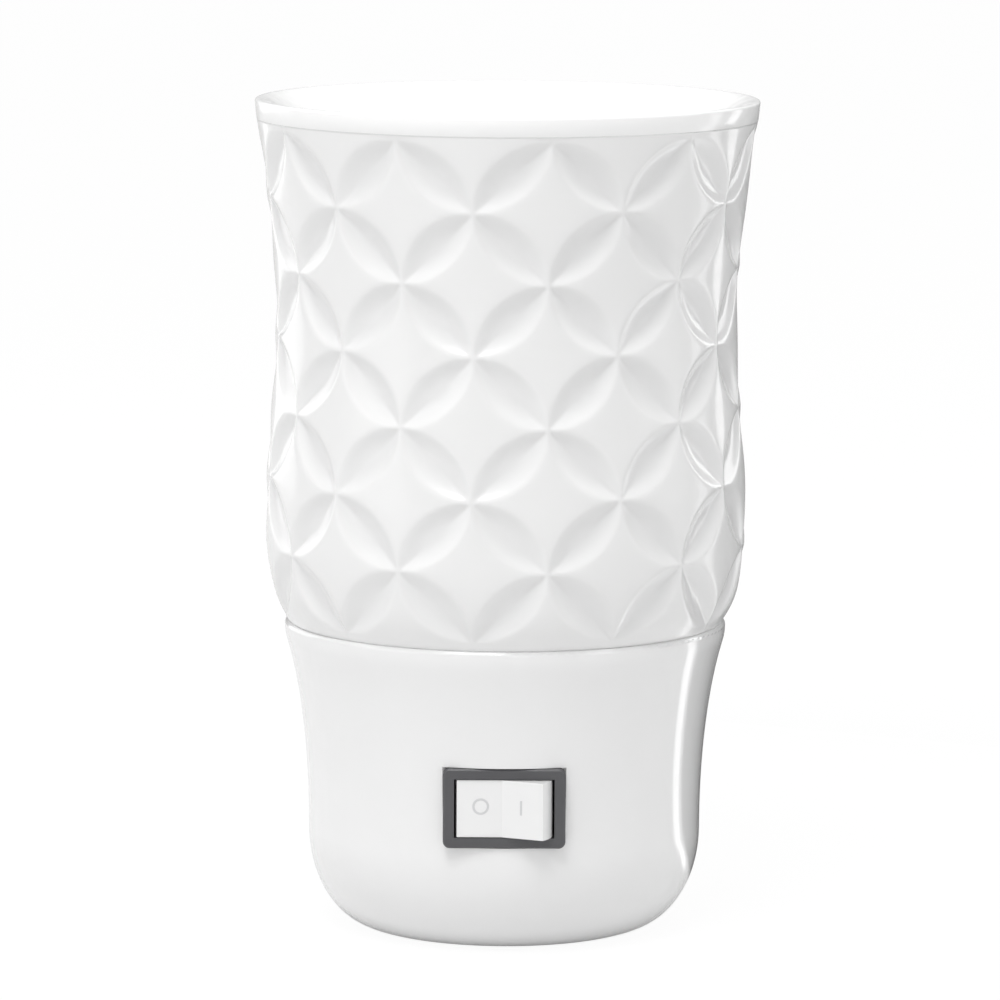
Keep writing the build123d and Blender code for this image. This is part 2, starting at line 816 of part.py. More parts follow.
terminal_end = housing_depth + terminal_length
with BuildPart() as common_terminal:
    with BuildSketch(switch_layer(knife_point, 0)):
        with BuildLine():
            knife_shoulder = -terminal_thickness
            tab_end = knife_depth - terminal_end
            Polyline(
                (0, 0),
                (terminal_thickness / 2, knife_shoulder),
                (terminal_thickness / 2, tab_end),
                (-terminal_thickness / 2, tab_end),
                (-terminal_thickness / 2, knife_shoulder),
                close=True,
            )
        make_face()
    extrude(amount=terminal_width / 2, both=True)
finish(common_terminal, "common_terminal")

with BuildPart() as load_terminal:
    with BuildSketch(switch_plane.offset(-terminal_end)):
        with Locations((-terminal_spacing, 0)):
            Rectangle(terminal_thickness, terminal_width)
    extrude(amount=terminal_end - knife_depth - stop_height)
finish(load_terminal, "load_terminal")

receptacle_front = housing_depth + receptacle_gap
with BuildPart() as wire_receptacles:
    with BuildSketch(switch_plane.offset(-receptacle_front)):
        with Locations((0, 0), (-terminal_spacing, 0)):
            RectangleRounded(receptacle_thickness, receptacle_width, receptacle_thickness / 3)
    extrude(amount=-receptacle_length)
    with BuildSketch(switch_plane.offset(-receptacle_front)):
        with Locations((0, 0), (-terminal_spacing, 0)):
            Rectangle(terminal_thickness, terminal_width)
    extrude(amount=receptacle_front - terminal_end, mode=Mode.SUBTRACT)
finish(wire_receptacles, "wire_receptacles")

# Rotating plug
strip_face = boss_depth - strip_thickness
blade_reach = blade_spacing / 2


def blade_section(width, side, depth):
    with BuildSketch(behind_wall_plane(depth)) as section:
        with Locations((side * blade_reach, 0)):
            Rectangle(blade_thickness, width)
    return section.sketch


with BuildPart() as plug_rotor:
    with BuildSketch(plug_section):
        with BuildLine():
            Polyline(
                (0, 0),
                (rotor_radius - rotor_edge, 0),
                (rotor_radius, -rotor_edge),
                (rotor_radius, -flange_front),
                (rotor_flange_radius, -flange_front),
                (rotor_flange_radius, -rotor_length),
                (0, -rotor_length),
                close=True,
            )
        make_face()
    revolve(axis=Axis.Y)
    with BuildSketch(behind_wall_plane(flange_front)):
        with BuildLine():
            lug = CenterArc((0, 0), lug_radius, lug_start, lug_angle)
            Line((0, 0), lug @ 0)
            Line((0, 0), lug @ 1)
        make_face()
    extrude(amount=rotor_flange_length)
    for width, side in ((line_blade_width, 1), (neutral_blade_width, -1)):
        extrude(blade_section(width, side, 0), amount=rotor_length, mode=Mode.SUBTRACT)
finish(plug_rotor, "plug_rotor")


def blade(width, side):
    """A plug blade with its hole and its narrower tail behind the rotor."""
    with BuildPart() as piece:
        extrude(blade_section(width, side, rotor_length), amount=-rotor_length - blade_length)
        chamfer(piece.faces().sort_by(Axis.Y)[-1].edges(), length=blade_tip)
        extrude(blade_section(tail_width, side, rotor_length), amount=strip_face - rotor_length)
        with BuildSketch(Plane.YZ.offset(side * blade_reach)):
            with Locations((blade_hole_reach, 0)):
                Circle(blade_hole_radius)
        extrude(amount=blade_thickness, both=True, mode=Mode.SUBTRACT)
    return piece.part


for name, width, side in (("line_blade", line_blade_width, 1), ("neutral_blade", neutral_blade_width, -1)):
    blade_solid = blade(width, side)
    with BuildPart() as plug_blade:
        add(blade_solid)
    finish(plug_blade, name)

# Contact carrier and the strips that the tails of the blades wipe along
strip_outer = math.hypot(blade_reach + blade_thickness / 2, tail_width / 2) + strip_margin
strip_inner = blade_reach - blade_thickness / 2 - strip_margin
strip_sweep = plug_turn + 2 * strip_overlap_angle
strip_tab_radius = strip_outer - tab_thickness / 2
tube_radius = rotor_flange_radius + rotor_gap - carrier_gap


def strip_tab_places():
    """Middles of the strips' tabs, each at the middle of its strip's sweep."""
    for side in (0, 180):
        yield on_circle(strip_tab_radius, side + plug_turn / 2), side + plug_turn / 2


def tab_section(place, turn, depth):
    with BuildSketch(behind_wall_plane(depth)) as section:
        with Locations(Location((place[0], place[1], 0), (0, 0, turn))):
            Rectangle(tab_thickness, tab_width)
    return section.sketch


with BuildPart() as contact_carrier:
    with BuildSketch(plug_section):
        with BuildLine():
            Polyline(
                (0, -carrier_back),
                (carrier_flange_radius, -carrier_back),
                (carrier_flange_radius, -boss_depth),
                (tube_radius, -boss_depth),
                (tube_radius, -rotor_length - carrier_gap),
                (tube_radius - carrier_wall, -rotor_length - carrier_gap),
                (tube_radius - carrier_wall, -boss_depth),
                (0, -boss_depth),
                close=True,
            )
        make_face()
    revolve(axis=Axis.Y)
    with BuildSketch(behind_wall_plane(boss_depth)):
        with Locations(*carrier_screw_places()):
            Circle(carrier_screw_radius + screw_hole_gap)
    extrude(amount=carrier_floor, mode=Mode.SUBTRACT)
    for place, turn in strip_tab_places():
        extrude(tab_section(place, turn, boss_depth), amount=carrier_floor, mode=Mode.SUBTRACT)
finish(contact_carrier, "contact_carrier")

for name, (place, turn) in zip(("line_strip", "neutral_strip"), strip_tab_places()):
    with BuildPart() as contact_strip:
        with BuildSketch(behind_wall_plane(strip_face)):
            with BuildLine():
                start = turn - strip_sweep / 2
                outer = CenterArc((0, 0), strip_outer, start, strip_sweep)
                inner = CenterArc((0, 0), strip_inner, start, strip_sweep)
                Line(outer @ 0, inner @ 0)
                Line(outer @ 1, inner @ 1)
            make_face()
        extrude(amount=strip_thickness)
        tab_reach = strip_thickness + carrier_floor + strip_tab_length
        extrude(tab_section(place, turn, strip_face), amount=tab_reach)
    finish(contact_strip, name)

carrier_screw_solids = []
for place in carrier_screw_places():
    seat = behind_wall_plane(carrier_back).shift_origin(Vector(place[0], -carrier_back, place[1]))
    carrier_screw_solids.append(
        screw(seat, carrier_screw_radius, carrier_screw_length, carrier_head_radius, carrier_head_height)
    )
with BuildPart() as carrier_screws:
    add(carrier_screw_solids)
finish(carrier_screws, "carrier_screws")

# Wires, from the strips' tabs to the switch and the lampholder
strip_tab_end = carrier_back + strip_tab_length
line_start, neutral_start = [Vector(x, -strip_tab_end, z) for (x, z), _ in strip_tab_places()]
common_end = switch_plane.from_local_coords((0, 0, -receptacle_front - receptacle_length))
load_end = switch_plane.from_local_coords((-terminal_spacing, 0, -receptacle_front - receptacle_length))
tab_bottom = holder_bottom - tab_length - plug_height
shell_end = Vector(0, shell_tab_reach - wall_distance, tab_bottom)
centre_end = Vector(0, -centre_tab_reach - wall_distance, tab_bottom)
forward = Vector(0, -wire_lead, 0)
upward = Vector(0, 0, wire_lead)
line_turn = Vector(line_start.X, common_end.Y - 2 * forward.Y, common_end.Z - wire_sag)
wire_routes = {
    "line_wire": (line_start, line_start + forward, line_turn, common_end - forward, common_end),
    "neutral_wire": (neutral_start, neutral_start + forward, shell_end - upward, shell_end),
    "switched_wire": (load_end, load_end - forward, centre_end - upward, centre_end),
}
for name, route in wire_routes.items():
    with BuildPart() as wire:
        with BuildLine() as path:
            Bezier(*route)
        with BuildSketch(Plane(origin=path.line @ 0, z_dir=path.line % 0)):
            Circle(wire_radius)
        sweep()
    finish(wire, name)
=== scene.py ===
import json
import math

import bpy
import numpy as np
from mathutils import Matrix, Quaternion, Vector


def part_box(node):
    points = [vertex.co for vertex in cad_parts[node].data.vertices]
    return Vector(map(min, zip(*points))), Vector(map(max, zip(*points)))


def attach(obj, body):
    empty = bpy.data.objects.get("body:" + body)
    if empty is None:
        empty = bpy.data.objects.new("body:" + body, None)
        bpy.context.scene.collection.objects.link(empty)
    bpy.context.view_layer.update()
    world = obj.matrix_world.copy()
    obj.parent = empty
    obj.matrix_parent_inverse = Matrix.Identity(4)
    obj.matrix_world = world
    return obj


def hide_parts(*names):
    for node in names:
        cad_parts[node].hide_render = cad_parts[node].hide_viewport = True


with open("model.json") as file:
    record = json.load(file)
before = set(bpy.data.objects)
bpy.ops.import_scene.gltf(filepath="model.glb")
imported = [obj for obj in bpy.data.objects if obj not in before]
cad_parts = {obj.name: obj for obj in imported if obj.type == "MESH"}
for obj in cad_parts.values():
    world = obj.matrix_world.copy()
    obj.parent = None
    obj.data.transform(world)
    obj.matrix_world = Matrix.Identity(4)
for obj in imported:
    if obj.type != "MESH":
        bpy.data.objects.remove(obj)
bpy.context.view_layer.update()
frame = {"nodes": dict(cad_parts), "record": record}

# Looks of the plug-in wax melt warmer. Units are metres in the frame of the CAD part: the wall plane
# is y = 0, +Z is up and the front looks along -Y. Shapes of revolution turn about the lamp axis.
mm = 0.001
nodes = frame["nodes"]
shade_low, shade_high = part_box("shade")
lamp_axis = Vector((0, (shade_low.y + shade_high.y) / 2, 0))
foot_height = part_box("base_bowl")[0].z
pole = 0.1 * mm  # innermost radius of a turned skin, closed by a flat cap

# Photograph: where the camera stood, from the ellipses of the rim and the relief's columns
picture_pixels = 1000
pixels_per_metre = 5700
camera_distance = 1.1
camera_elevation = math.radians(7.9)
camera_roll = math.radians(0.28)
aim_side = -0.98 * mm
aim_height = 74.8 * mm
camera_aim = Vector((aim_side, lamp_axis.y, foot_height + aim_height))


# Small helpers for node materials
def ramp(tree, value, start, end, low=0.0, high=1.0):
    """A value that runs from low to high as another one runs from start to end."""
    made = tree.nodes.new("ShaderNodeMapRange")
    tree.links.new(value, made.inputs["Value"])
    for socket, level in (("From Min", start), ("From Max", end), ("To Min", low), ("To Max", high)):
        made.inputs[socket].default_value = level
    return made.outputs["Result"]


def split_by_camera(tree, others, camera, output):
    """Camera rays meet one shader, and all other rays another one."""
    either = tree.nodes.new("ShaderNodeMixShader")
    tree.links.new(tree.nodes.new("ShaderNodeLightPath").outputs["Is Camera Ray"], either.inputs[0])
    tree.links.new(others, either.inputs[1])
    tree.links.new(camera, either.inputs[2])
    tree.links.new(either.outputs[0], output.inputs["Surface"])


def white(level, tint=1.0):
    """A grey of this level, with its blue scaled by the tint."""
    return level, level, level * tint


class Shader:
    """A Principled material whose colour, roughness and bump come from procedural nodes."""

    def __init__(self, name, **sockets):
        self.material = bpy.data.materials.new(name)
        self.material.use_nodes = True
        self.tree = self.material.node_tree
        self.surface = self.tree.nodes["Principled BSDF"]
        for socket, value in sockets.items():
            self.surface.inputs[socket.replace("_", " ")].default_value = value
        self.place = self.tree.nodes.new("ShaderNodeTexCoord").outputs["Object"]

    def node(self, kind, **sockets):
        made = self.tree.nodes.new("ShaderNode" + kind)
        for socket, value in sockets.items():
            target = made.inputs[socket.replace("_", " ")]
            if isinstance(value, bpy.types.NodeSocket):
                self.tree.links.new(value, target)
            else:
                target.default_value = value
        return made

    def stretched(self, scale):
        return self.node("Mapping", Vector=self.place, Scale=scale).outputs["Vector"]

    def noise(self, size, detail=2.0, place=None):
        """Noise whose lumps are about this size in metres."""
        return self.node("TexNoise", Vector=place or self.place, Scale=1 / size, Detail=detail).outputs["Fac"]

    def between(self, share, low, high):
        """A value that runs from low to high as share runs from 0.3 to 0.7."""
        return ramp(self.tree, share, 0.3, 0.7, low, high)

    def blend(self, share, first, second):
        made = self.tree.nodes.new("ShaderNodeMix")
        made.data_type = "RGBA"
        self.tree.links.new(share, made.inputs["Factor"])
        for socket, value in zip((s for s in made.inputs if s.type == "RGBA"), (first, second)):
            if isinstance(value, bpy.types.NodeSocket):
                self.tree.links.new(value, socket)
            else:
                socket.default_value = (*value, 1)
        return next(s for s in made.outputs if s.type == "RGBA")

    def attribute(self, name):
        made = self.tree.nodes.new("ShaderNodeAttribute")
        made.attribute_name = name
        return made.outputs["Fac"]

    def colour(self, socket):
        self.tree.links.new(socket, self.surface.inputs["Base Color"])

    def roughness(self, socket):
        self.tree.links.new(socket, self.surface.inputs["Roughness"])

    def bump(self, *layers):
        """Bumps in layers of (height socket, distance in metres)."""
        normal = None
        for height, distance in layers:
            made = self.node("Bump", Height=height, Distance=distance)
            made.inputs["Strength"].default_value = 1
            if normal is not None:
                self.tree.links.new(normal, made.inputs["Normal"])
            normal = made.outputs["Normal"]
        self.tree.links.new(normal, self.surface.inputs["Normal"])


def glaze(name, level):
    """White glaze: a soft cloudiness, a faint orange peel and a duller tone where it pools in hollows."""
    made = Shader(name, Roughness=0.2, Coat_Weight=0.4, Coat_Roughness=0.06, IOR=1.5)
    cloud = made.blend(made.noise(18 * mm, 3), white(level * 0.98, 0.998), white(level * 1.015, 0.998))
    made.colour(made.blend(made.attribute("recess"), cloud, white(level * 0.965)))
    made.roughness(made.between(made.noise(2.5 * mm, 4), 0.16, 0.26))
    made.bump((made.noise(5 * mm, 1), 0.05 * mm), (made.noise(0.7 * mm, 2), 0.006 * mm))
    return made.material


def moulded(name, dark, light, rough, grain=0.5 * mm, relief=0.006 * mm, **sockets):
    """Moulded plastic: near-even colour, a fine spark-eroded grain and a slow waviness."""
    made = Shader(name, **sockets)
    made.colour(made.blend(made.noise(14 * mm, 2), dark, light))
    made.roughness(made.between(made.noise(3 * mm, 3), rough * 0.85, rough * 1.15))
    made.bump((made.noise(12 * mm, 1), 0.03 * mm), (made.noise(grain, 2), relief))
    return made.material


def rolled(name, dark, light, rough, scale=(1, 1, 14), **sockets):
    """Rolled or drawn metal: streaks along one direction, with duller patches where it was handled."""
    made = Shader(name, Metallic=1.0, **sockets)
    streak = made.noise(0.4 * mm, 3, made.stretched(scale))
    made.colour(made.blend(made.noise(4 * mm, 3), dark, light))
    made.roughness(made.between(streak, rough * 0.7, rough * 1.4))
    made.bump((streak, 0.004 * mm))
    return made.material


# Meshes of revolution
def natural_spline(x, y):
    """A smooth curve y(x) through a few points, with no bend at its ends."""
    x, y = np.array(x, float), np.array(y, float)
    gap = np.diff(x)
    slope = np.diff(y) / gap
    size = len(x)
    rows, right = np.eye(size), np.zeros(size)
    for i in range(1, size - 1):
        rows[i, i - 1:i + 2] = gap[i - 1], 2 * (gap[i - 1] + gap[i]), gap[i]
        right[i] = 6 * (slope[i] - slope[i - 1])
    bend = np.linalg.solve(rows, right)

    def curve(at):
        i = np.clip(np.searchsorted(x, at) - 1, 0, size - 2)
        a, b = x[i + 1] - at, at - x[i]
        h = gap[i]
        return (bend[i] * a**3 + bend[i + 1] * b**3) / (6 * h) + (
            (y[i] / h - bend[i] * h / 6) * a + (y[i + 1] / h - bend[i + 1] * h / 6) * b
        )

    return curve


def linked(name, points, faces, smooth=True):
    """A new piece from points and faces in metres."""
    mesh = bpy.data.meshes.new(name)
    mesh.from_pydata(points, [], faces)
    mesh.polygons.foreach_set("use_smooth", [smooth] * len(mesh.polygons))
    piece = bpy.data.objects.new(name, mesh)
    bpy.context.scene.collection.objects.link(piece)
    return piece


def upright(outline):
    """The values of an outline's points, each kind as a column of an array."""
    return (np.array(values)[:, None] for values in zip(*outline))


def ring_mesh(name, radius, height, columns, closed=True):
    """A skin about the lamp axis from radii and heights, in rows (outline points) and columns (turns).

    A closed outline comes back to its first row; an open one ends on the axis at both ends.
    """
    rows = radius.shape[0]
    turn = np.linspace(0, 2 * np.pi, columns, endpoint=False)
    height = np.broadcast_to(height, radius.shape)
    points = np.stack([radius * np.sin(turn), lamp_axis.y - radius * np.cos(turn), height], axis=-1)
    points = points.reshape(-1, 3).tolist()
    row, column = np.meshgrid(np.arange(rows if closed else rows - 1), np.arange(columns), indexing="ij")
    below, beside = (row + 1) % rows, (column + 1) % columns
    corners = [r * columns + c for r, c in ((row, column), (row, beside), (below, beside), (below, column))]
    faces = np.stack(corners, axis=-1).reshape(-1, 4).tolist()
    if not closed:
        for first, forward in ((0, True), ((rows - 1) * columns, False)):
            points.append((0, lamp_axis.y, float(height[0 if forward else -1, 0])))
            for i in range(columns):
                pair = (first + i, first + (i + 1) % columns)
                faces.append((len(points) - 1, *(pair[::-1] if forward else pair)))
    return linked(name, points, faces)


def lathe(name, outline, columns=128, closed=False):
    """A plain turned piece from a short outline of (radius, height) pairs in metres."""
    radius, height = upright(outline)
    return ring_mesh(name, np.repeat(radius, columns, axis=1), height, columns, closed)


def rounded(corners, radius, steps=4):
    """An outline through corners, each inner corner rounded by an arc-like curve of about this radius."""
    outline = [corners[0]]
    for before, corner, after in zip(corners, corners[1:], corners[2:]):
        at, back, on = (Vector((*p, 0)) for p in (corner, before, after))
        reach = min(radius, (back - at).length / 2, (on - at).length / 2)
        start, end = at + (back - at).normalized() * reach, at + (on - at).normalized() * reach
        for i in range(steps + 1):
            t = i / steps
            point = start * (1 - t) ** 2 + at * 2 * t * (1 - t) + end * t**2
            outline.append((point.x, point.y))
    return outline + [corners[-1]]


# Shade: the CAD shade's own outline and relief, as glaze leaves them, with soft edges. Its relief is
# deeper than the solid's, and its foot spreads a little further over the bowl's rim.
shade_foot = shade_low.z
shade_tall = shade_high.z - shade_low.z
shade_top_radius = (shade_high.x - shade_low.x) / 2
shade_wall = 3.2 * mm
shade_radii = [38.05, 39.9, 41.2, 42.1, 41.556, 40.45, 41.474, 42.914, shade_top_radius / mm]
shade_height_shares = [0, 0.036, 0.085, 0.19, 0.36, 0.67, 0.807, 0.945, 1]
shade_side = natural_spline([shade_foot + shade_tall * s for s in shade_height_shares],
                            [r * mm for r in shade_radii])
relief_first = math.radians(10)
relief_turn = math.radians(18)
relief_rows = 7
relief_lid = 0.9 * mm
relief_hem = 1.5 * mm
relief_top = shade_high.z - relief_lid
relief_step = (relief_top - shade_foot - relief_hem) / relief_rows
relief_depth = 1.35 * mm
relief_fade = 0.06
edge_softness = 0.035
rim_round = 0.2 * mm
seam_round = 0.02 * mm
foot_round = 0.04 * mm


def relief_share(turn, height):
    """Depth of the relief, 0 to 1: circles of one step overlap, and the leaves where two meet are scooped."""
    u = (turn - relief_first) / relief_turn
    v = (relief_top - height) / relief_step
    i, j = np.floor(u), np.floor(v)
    across, down = u - i, v - j
    across = np.where((i + j) % 2 == 0, across, 1 - across)
    inside = 1 - np.maximum(np.hypot(1 - across, down), np.hypot(across, 1 - down))
    inside = (inside + np.hypot(inside, edge_softness)) / 2
    share = np.clip(inside / (1 - math.sqrt(0.5)), 0, 1)
    fade = np.clip(v / relief_fade + 1, 0, 1) * np.clip((relief_rows - v) / relief_fade + 1, 0, 1)
    return (2 * share - share**2) * fade


def quarter_round(radius, height, aside, along, swapped=False):
    """Six plain points round an edge; aside and along are its rounding in radius and in height."""
    shares = [(1 - math.cos(a), 1 - math.sin(a)) for a in np.linspace(0, np.pi / 2, 6)]
    if swapped:
        shares = [pair[::-1] for pair in shares]
    return [(radius + aside * s, height + along * t, 0) for s, t in shares]


def glazed_shade(columns=720, outer_rows=250, inner_rows=40):
    """Shade as one turned skin: carved outside, rounded at its edges and plain inside."""
    low, high = shade_foot, shade_high.z
    foot_radius, top_radius = shade_side(low), shade_side(high)
    outline = [
        *((shade_side(h), h, 1) for h in np.linspace(low + foot_round, high - seam_round, outer_rows)),
        *quarter_round(top_radius, high, -seam_round, -seam_round),
        *quarter_round(top_radius - shade_wall, high, rim_round, -rim_round, swapped=True),
        *((shade_side(h) - shade_wall, h, 0)
          for h in np.linspace(high - rim_round, low + rim_round, inner_rows)[1:-1]),
        *quarter_round(foot_radius - shade_wall, low, rim_round, rim_round),
        *quarter_round(foot_radius, low, -foot_round, foot_round, swapped=True)[:-1],
    ]
    radius, height, carved = upright(outline)
    turn = np.linspace(0, 2 * np.pi, columns, endpoint=False)[None, :]
    share = relief_share(turn, height) * carved
    piece = ring_mesh("shade_glazed", radius - relief_depth * share, height, columns)
    recess = piece.data.attributes.new("recess", "FLOAT", "POINT")
    recess.data.foreach_set("value", share.ravel().astype(np.float32))
    return piece


def dress(piece, material, body, node=None):
    """Gives a piece its finish and body; with a node it stands for that node."""
    piece.data.materials.append(material)
    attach(piece, body)
    if node:
        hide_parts(node)


def glazed_dish():
    """Melt dish with the soft edges of glaze: flat base, round wall, and one smooth flare for a lip."""
    low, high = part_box("melt_dish")
    lip, top, base, seat = (high.x - low.x) / 2, high.z, low.z, shade_high.z
    skirt, corner, wall, drop, seam = 39.09 * mm, 15.5 * mm, 2.8 * mm, 4.6 * mm, 0.01 * mm
    lip_edge, lip_crown, lip_width, lip_fall, lip_round = 0.2 * mm, 0.8 * mm, 2.0 * mm, 0.35 * mm, 0.9 * mm
    throat, throat_height, bend, bend_depth = 0.9 * mm, 0.6 * mm, 0.3 * mm, 2 * mm
    flat_edge = (skirt - corner) * 0.97

    def corner_arc(radius, turns):
        return [(skirt - corner + radius * math.sin(a), seat - drop - radius * math.cos(a)) for a in turns]

    flare = rounded([
        (shade_top_radius, seat + 2 * seam), (lip, top - lip_edge), (lip - lip_crown, top),
        (lip - lip_width, top - lip_fall), (skirt - throat, seat + throat_height),
        (skirt - wall + bend, seat - bend_depth), (skirt - wall, seat - drop),
    ], lip_round, 6)
    outline = [
        (pole, base), (flat_edge, base), *corner_arc(corner, np.linspace(0, np.pi / 2, 20)),
        (skirt, seat + seam), (shade_top_radius - seam, seat + seam), *flare,
        *corner_arc(corner - wall, np.linspace(np.pi / 2, 0, 20)),
        (flat_edge, base + wall), (pole, base + wall),
    ]
    return lathe("dish_glazed", outline, 256)


# Lamp, turned about the lamp axis
thread_pitch = 2.54 * mm
thread_turns = 5
cap_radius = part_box("bulb_cap")[1].x


def thread_share(turn, height, low, high):
    """Rolled thread: 0 on its crests and 1 in its roots, fading out at both ends."""
    wave = 0.5 - 0.5 * np.cos(2 * np.pi * ((height - low) / thread_pitch - turn / (2 * np.pi)))
    return wave * np.clip((height - low) / thread_pitch, 0, 1) * np.clip((high - height) / thread_pitch, 0, 1)


def threaded(name, outline, low, high, depth, columns=96, closed=False):
    """A turned piece whose outline points between two heights, where marked, carry a rolled thread."""
    radius, height, marked = upright(outline)
    turn = np.linspace(0, 2 * np.pi, columns, endpoint=False)[None, :]
    share = thread_share(turn, height, low, high) * marked
    return ring_mesh(name, radius - depth * share, height, columns, closed)


def lamp_cap():
    """Lamp cap: a round shoulder, a rolled thread and a thin rim round the glass."""
    low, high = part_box("bulb_cap")
    bottom, shoulder, wall, lap, rim_soft, depth = 4.2 * mm, 1.8 * mm, 0.4 * mm, 3 * mm, 0.15 * mm, 0.5 * mm
    thread_low = low.z + shoulder
    thread_high = thread_low + thread_turns * thread_pitch
    rim = rounded([
        (cap_radius, thread_high + wall), (cap_radius, high.z), (cap_radius - wall, high.z),
        (cap_radius - wall, high.z - lap),
    ], rim_soft, 3)
    outline = [
        (pole, low.z, 0),
        *((bottom + (cap_radius - bottom) * math.sin(a), low.z + shoulder * (1 - math.cos(a)), 0)
          for a in np.linspace(0, np.pi / 2, 8)[:-1]),
        *((cap_radius, h, 1) for h in np.linspace(thread_low, thread_high, 90)),
        *((r, h, 0) for r, h in rim), (pole, high.z - lap, 0),
    ]
    return threaded("lamp_cap_rolled", outline, thread_low, thread_high, depth)


def shell_thread():
    """The thread inside the lampholder's shell, which the lamp's cap runs in."""
    reach, lip, play, skin, depth = 19 * mm, 0.3 * mm, 0.45 * mm, 0.04 * mm, 0.3 * mm
    shell_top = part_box("screw_shell")[1].z
    base, top, crest = shell_top - reach, shell_top - lip, cap_radius + play
    rows = np.linspace(base, top, 130)
    outline = [(crest, h, 1) for h in rows] + [(crest + skin, h, 0) for h in rows[::-1]]
    return threaded("shell_thread", outline, base, top, depth, closed=True)


def lamp_globe():
    """Thin glass: a neck in the cap, a swelling shoulder and a round crown, with its inner skin."""
    low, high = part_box("bulb_glass")
    radius, wall, cap_gap, neck_height, shoulder = high.x, 0.7 * mm, 0.4 * mm, 4.2 * mm, 15 * mm
    neck, crown_pole = cap_radius - cap_gap, 0.05 * mm
    swell, turns = np.linspace(0, 1, 24), np.linspace(0, np.pi / 2, 24)

    def skin(inset):
        side = [(neck - inset + (radius - neck) * (3 * s**2 - 2 * s**3), low.z + neck_height + shoulder * s)
                for s in swell]
        crown = [((radius - inset) * math.cos(a), high.z - radius + (radius - inset) * math.sin(a))
                 for a in turns]
        return [(neck - inset, low.z), *side, *crown[:-1], (crown_pole, crown[-1][1])]

    return lathe("lamp_globe", skin(0) + skin(wall)[::-1], 96, closed=True)


def lamp_stem():
    """Glass stem: a flared foot that closes the neck, drawn up into a pinched press."""
    low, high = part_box("bulb_stem")
    foot, press, foot_edge, flare_start, flare_height = high.x, 1.5 * mm, 0.5 * mm, 0.9 * mm, 5 * mm
    press_edge, press_top, tip_share = 0.5 * mm, 0.1 * mm, 0.8
    outline = [
        (pole, low.z), (foot, low.z), (foot, low.z + foot_edge),
        *((press + (foot - press) * (1 - s) ** 3, low.z + flare_start + flare_height * s)
          for s in np.linspace(0, 1, 14)),
        (press, high.z - press_edge), (press * tip_share, high.z - press_top), (pole, high.z),
    ]
    return lathe("lamp_stem", outline, 64)


def tube(points, radius, sides=8):
    """Points and faces of a round tube along a path, with flat ends."""
    path = [Vector(p) for p in points]
    rings, faces = [], []
    side = None
    for i, point in enumerate(path):
        along = (path[min(i + 1, len(path) - 1)] - path[max(i - 1, 0)]).normalized()
        if side is None:
            side = along.orthogonal()
        side = (side - along * side.dot(along)).normalized()
        other = along.cross(side)
        rings += [point + (side * math.cos(a) + other * math.sin(a)) * radius
                  for a in np.linspace(0, 2 * np.pi, sides, endpoint=False)]
    for i in range(len(path) - 1):
        for j in range(sides):
            k = (j + 1) % sides
            faces.append((i * sides + j, i * sides + k, (i + 1) * sides + k, (i + 1) * sides + j))
    faces.append(tuple(range(sides))[::-1])
    faces.append(tuple(range((len(path) - 1) * sides, len(path) * sides)))
    return rings, faces


def joined(name, parts, smooth=True):
    """One piece from several (points, faces) lists."""
    points, faces = [], []
    for more_points, more_faces in parts:
        start = len(points)
        points += [tuple(p) for p in more_points]
        faces += [tuple(start + i for i in face) for face in more_faces]
    return linked(name, points, faces, smooth)


def lamp_filament():
    """Two leads out of the stem and a fine coil that sags between them."""
    low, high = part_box("bulb_filament")
    lead, sag, margin = 0.22 * mm, 1.6 * mm, 0.3 * mm
    coil_radius, coil_turns, coil_wire, steps = 0.34 * mm, 30, 0.07 * mm, 10
    spread, top = high.x - margin, high.z - margin
    lead_tip = 0.15 * mm
    lead_places = [0.9 * mm, 1.15 * mm, 1.5 * mm, 2.6 * mm, spread - lead_tip, spread]
    lead_height_shares = [0, 0.12, 0.25, 0.62, 0.93, 1]
    parts = []
    for way in (-1, 1):
        path = [lamp_axis + Vector((way * x, 0, low.z + (top - low.z) * s))
                for x, s in zip(lead_places, lead_height_shares)]
        parts.append(tube(path, lead))
    coil = []
    for i in range(coil_turns * steps + 1):
        share = i / (coil_turns * steps)
        x = spread * (2 * share - 1)
        middle = lamp_axis + Vector((x, 0, top - sag * (1 - (x / spread) ** 2)))
        turn = 2 * np.pi * coil_turns * share
        tilt = math.atan2(2 * sag * x / spread**2, 1)
        across = Vector((-math.sin(tilt), 0, math.cos(tilt)))
        coil.append(middle + (across * math.cos(turn) + Vector((0, 1, 0)) * math.sin(turn)) * coil_radius)
    parts.append(tube(coil, coil_wire, 5))
    return joined("lamp_filament", parts)


def lamp_solder():
    """A low dome of solder on the lamp's end."""
    low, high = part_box("bulb_tip")
    radius, dome_height, first_turn = high.x, (high.z - low.z) * 0.8, 0.03
    dome = [(radius * math.sin(a), low.z + dome_height * (1 - math.cos(a)))
            for a in np.linspace(first_turn, np.pi / 2, 14)]
    return lathe("lamp_solder", [*dome, (radius, high.z), (pole, high.z)], 48)


